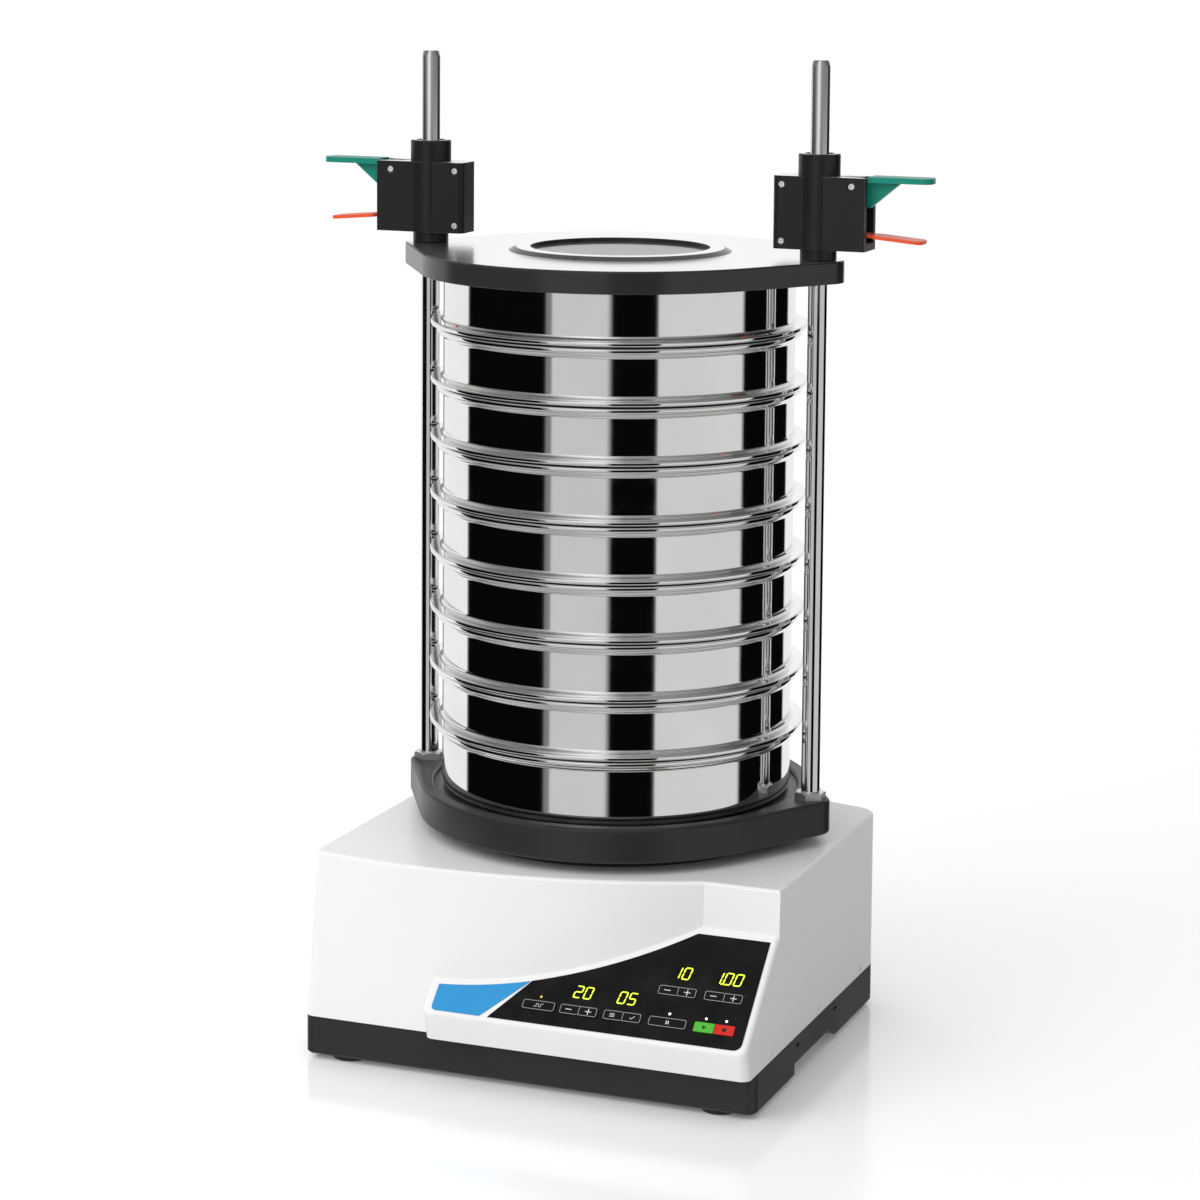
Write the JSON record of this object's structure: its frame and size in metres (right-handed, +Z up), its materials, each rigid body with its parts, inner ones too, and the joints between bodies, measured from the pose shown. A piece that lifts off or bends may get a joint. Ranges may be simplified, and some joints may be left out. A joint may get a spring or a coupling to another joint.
{
  "type": "sieve shaker",
  "caption": "Bench sieve shaker: sloped keypad housing, vibrating plate, stack of steel sieves on a pan, and a cover held by squeeze clamps on upright rods.",
  "frame": {"origin": "middle of the overall footprint, on the table under the feet", "axes": "X to the machine's right as seen from the front, Y to the rear, Z up"},
  "size_m": [0.564, 0.4064, 0.8565],
  "materials": {
    "black_moulding": "fine-grained moulded black plastic",
    "black_rubber": "matt black rubber",
    "white_housing": "satin off-white moulded housing",
    "zinc_steel": "plain zinc-plated steel",
    "black_foil": "satin black keypad foil",
    "blue_plate": "satin blue foil, left bare",
    "board": "green circuit board",
    "display_window": "dark display window",
    "cast_mass": "cast iron, hidden",
    "core_steel": "laminated steel, hidden",
    "copper_coil": "wound copper, hidden",
    "cast_aluminium": "cast aluminium, hidden",
    "black_coated_aluminium": "dark satin coating on aluminium",
    "polished_steel": "polished stainless steel",
    "clear_window": "grey translucent disc",
    "black_key": "satin black key under the foil print, with a light grey outline",
    "green_key": "satin green key cap",
    "red_key": "satin red key cap",
    "dark_nylon": "matt dark grey moulded nylon",
    "green_lever": "satin teal green moulding",
    "orange_lever": "satin orange plate"
  },
  "bodies": {
    "base": {"base_tray": "black_moulding", "rubber_feet": "black_rubber", "housing_shell": "white_housing", "housing_screws": "zinc_steel", "keypad_foil": "black_foil", "label_plate": "blue_plate", "control_board": "board", "display_modules": "display_window", "mains_inlet": "black_moulding", "reaction_mass": "cast_mass", "rubber_buffers": "black_rubber", "magnet_core": "core_steel", "magnet_coil": "copper_coil", "drive_springs": "black_rubber", "rubber_boot": "black_rubber"},
    "drive": {"armature": "core_steel", "drive_carrier": "cast_aluminium", "sieve_plate": "black_coated_aluminium", "support_rods": "polished_steel", "rod_nuts": "zinc_steel"},
    "pan_unit": {"collecting_pan": "polished_steel"},
    "sieve_unit_8": {"sieve_8": "polished_steel"},
    "sieve_unit_7": {"sieve_7": "polished_steel"},
    "sieve_unit_6": {"sieve_6": "polished_steel"},
    "sieve_unit_5": {"sieve_5": "polished_steel"},
    "sieve_unit_4": {"sieve_4": "polished_steel"},
    "sieve_unit_3": {"sieve_3": "polished_steel"},
    "sieve_unit_2": {"sieve_2": "polished_steel"},
    "sieve_unit_1": {"sieve_1": "polished_steel"},
    "cover_unit": {"cover_plate": "black_coated_aluminium", "cover_window": "clear_window"},
    "clamp_left": {"clamp_housing_left": "dark_nylon", "clamp_bushes_left": "dark_nylon", "clamp_fasteners_left": "zinc_steel", "jam_spring_left": "zinc_steel", "release_spring_left": "zinc_steel"},
    "squeeze_left": {"squeeze_lever_left": "green_lever"},
    "jam_left": {"jam_plate_left": "zinc_steel"},
    "release_left": {"release_lever_left": "orange_lever"},
    "clamp_right": {"clamp_housing_right": "dark_nylon", "clamp_bushes_right": "dark_nylon", "clamp_fasteners_right": "zinc_steel", "jam_spring_right": "zinc_steel", "release_spring_right": "zinc_steel"},
    "squeeze_right": {"squeeze_lever_right": "green_lever"},
    "jam_right": {"jam_plate_right": "zinc_steel"},
    "release_right": {"release_lever_right": "orange_lever"},
    "interval_button": {"interval_key": "black_key"},
    "interval_minus_button": {"interval_minus_key": "black_key"},
    "interval_plus_button": {"interval_plus_key": "black_key"},
    "program_button": {"program_key": "black_key"},
    "set_button": {"set_key": "black_key"},
    "pause_button": {"pause_key": "black_key"},
    "start_button": {"start_key": "green_key"},
    "stop_button": {"stop_key": "red_key"},
    "time_minus_button": {"time_minus_key": "black_key"},
    "time_plus_button": {"time_plus_key": "black_key"},
    "amplitude_minus_button": {"amplitude_minus_key": "black_key"},
    "amplitude_plus_button": {"amplitude_plus_key": "black_key"},
    "rocker": {"mains_switch": "black_moulding"}
  },
  "joints": [
    {"name": "drive_throw", "type": "slide", "parent": "base", "child": "drive", "axis": [0, 0, 1], "range_m": [-0.0011, 0.0011], "stiffness_N_per_m": 200000, "springref_m": 0.00151, "deforming": ["drive_springs", "rubber_boot"]},
    {"name": "pan_lift", "type": "slide", "parent": "drive", "child": "pan_unit", "axis": [0, 0, 1], "range_m": [0, 0.012]},
    {"name": "sieve_8_lift", "type": "slide", "parent": "pan_unit", "child": "sieve_unit_8", "axis": [0, 0, 1], "range_m": [0, 0.012]},
    {"name": "sieve_7_lift", "type": "slide", "parent": "sieve_unit_8", "child": "sieve_unit_7", "axis": [0, 0, 1], "range_m": [0, 0.012]},
    {"name": "sieve_6_lift", "type": "slide", "parent": "sieve_unit_7", "child": "sieve_unit_6", "axis": [0, 0, 1], "range_m": [0, 0.012]},
    {"name": "sieve_5_lift", "type": "slide", "parent": "sieve_unit_6", "child": "sieve_unit_5", "axis": [0, 0, 1], "range_m": [0, 0.012]},
    {"name": "sieve_4_lift", "type": "slide", "parent": "sieve_unit_5", "child": "sieve_unit_4", "axis": [0, 0, 1], "range_m": [0, 0.012]},
    {"name": "sieve_3_lift", "type": "slide", "parent": "sieve_unit_4", "child": "sieve_unit_3", "axis": [0, 0, 1], "range_m": [0, 0.012]},
    {"name": "sieve_2_lift", "type": "slide", "parent": "sieve_unit_3", "child": "sieve_unit_2", "axis": [0, 0, 1], "range_m": [0, 0.012]},
    {"name": "sieve_1_lift", "type": "slide", "parent": "sieve_unit_2", "child": "sieve_unit_1", "axis": [0, 0, 1], "range_m": [0, 0.012]},
    {"name": "cover_lift", "type": "slide", "parent": "sieve_unit_1", "child": "cover_unit", "axis": [0, 0, 1], "range_m": [0, 0.012]},
    {"name": "clamp_left_slide", "type": "slide", "parent": "cover_unit", "child": "clamp_left", "axis": [0, 0, 1], "range_m": [0, 0.06]},
    {"name": "squeeze_left_hinge", "type": "hinge", "parent": "clamp_left", "child": "squeeze_left", "pos_m": [-0.214, 0.0285, 0.742], "axis": [0, -1, 0], "range_deg": [0, 25], "stiffness_Nm_per_rad": 0.15, "springref_deg": -28.65},
    {"name": "jam_left_hinge", "type": "hinge", "parent": "clamp_left", "child": "jam_left", "pos_m": [-0.1594, 0.0285, 0.7405], "axis": [0, 1, 0], "range_deg": [0, 5.2], "deforming": ["jam_spring_left"]},
    {"name": "release_left_hinge", "type": "hinge", "parent": "clamp_left", "child": "release_left", "pos_m": [-0.1594, 0.0285, 0.7151], "axis": [0, 1, 0], "range_deg": [0, 5], "stiffness_Nm_per_rad": 0.1, "springref_deg": -17.19, "deforming": ["release_spring_left"]},
    {"name": "clamp_right_slide", "type": "slide", "parent": "cover_unit", "child": "clamp_right", "axis": [0, 0, 1], "range_m": [0, 0.06]},
    {"name": "squeeze_right_hinge", "type": "hinge", "parent": "clamp_right", "child": "squeeze_right", "pos_m": [0.214, 0.0285, 0.742], "axis": [0, 1, 0], "range_deg": [0, 25], "stiffness_Nm_per_rad": 0.15, "springref_deg": -28.65},
    {"name": "jam_right_hinge", "type": "hinge", "parent": "clamp_right", "child": "jam_right", "pos_m": [0.1594, 0.0285, 0.7405], "axis": [0, -1, 0], "range_deg": [0, 5.2], "deforming": ["jam_spring_right"]},
    {"name": "release_right_hinge", "type": "hinge", "parent": "clamp_right", "child": "release_right", "pos_m": [0.1594, 0.0285, 0.7151], "axis": [0, -1, 0], "range_deg": [0, 5], "stiffness_Nm_per_rad": 0.1, "springref_deg": -17.19, "deforming": ["release_spring_right"]},
    {"name": "interval_press", "type": "slide", "parent": "base", "child": "interval_button", "axis": [0, 0.682, -0.7314], "range_m": [0, 0.0003], "stiffness_N_per_m": 600, "springref_m": -0.001},
    {"name": "interval_minus_press", "type": "slide", "parent": "base", "child": "interval_minus_button", "axis": [0, 0.682, -0.7314], "range_m": [0, 0.0003], "stiffness_N_per_m": 600, "springref_m": -0.001},
    {"name": "interval_plus_press", "type": "slide", "parent": "base", "child": "interval_plus_button", "axis": [0, 0.682, -0.7314], "range_m": [0, 0.0003], "stiffness_N_per_m": 600, "springref_m": -0.001},
    {"name": "program_press", "type": "slide", "parent": "base", "child": "program_button", "axis": [0, 0.682, -0.7314], "range_m": [0, 0.0003], "stiffness_N_per_m": 600, "springref_m": -0.001},
    {"name": "set_press", "type": "slide", "parent": "base", "child": "set_button", "axis": [0, 0.682, -0.7314], "range_m": [0, 0.0003], "stiffness_N_per_m": 600, "springref_m": -0.001},
    {"name": "pause_press", "type": "slide", "parent": "base", "child": "pause_button", "axis": [0, 0.682, -0.7314], "range_m": [0, 0.0003], "stiffness_N_per_m": 600, "springref_m": -0.001},
    {"name": "start_press", "type": "slide", "parent": "base", "child": "start_button", "axis": [0, 0.682, -0.7314], "range_m": [0, 0.0003], "stiffness_N_per_m": 600, "springref_m": -0.001},
    {"name": "stop_press", "type": "slide", "parent": "base", "child": "stop_button", "axis": [0, 0.682, -0.7314], "range_m": [0, 0.0003], "stiffness_N_per_m": 600, "springref_m": -0.001},
    {"name": "time_minus_press", "type": "slide", "parent": "base", "child": "time_minus_button", "axis": [0, 0.682, -0.7314], "range_m": [0, 0.0003], "stiffness_N_per_m": 600, "springref_m": -0.001},
    {"name": "time_plus_press", "type": "slide", "parent": "base", "child": "time_plus_button", "axis": [0, 0.682, -0.7314], "range_m": [0, 0.0003], "stiffness_N_per_m": 600, "springref_m": -0.001},
    {"name": "amplitude_minus_press", "type": "slide", "parent": "base", "child": "amplitude_minus_button", "axis": [0, 0.682, -0.7314], "range_m": [0, 0.0003], "stiffness_N_per_m": 600, "springref_m": -0.001},
    {"name": "amplitude_plus_press", "type": "slide", "parent": "base", "child": "amplitude_plus_button", "axis": [0, 0.682, -0.7314], "range_m": [0, 0.0003], "stiffness_N_per_m": 600, "springref_m": -0.001},
    {"name": "rocker_hinge", "type": "hinge", "parent": "base", "child": "rocker", "pos_m": [0, 0.1824, 0.113], "axis": [1, 0, 0], "range_deg": [0, 7]}
  ],
  "couplings": [
    {"joint": "jam_left_hinge", "follows": "squeeze_left_hinge", "ratio": 0.2},
    {"joint": "jam_right_hinge", "follows": "squeeze_right_hinge", "ratio": 0.2}
  ]
}
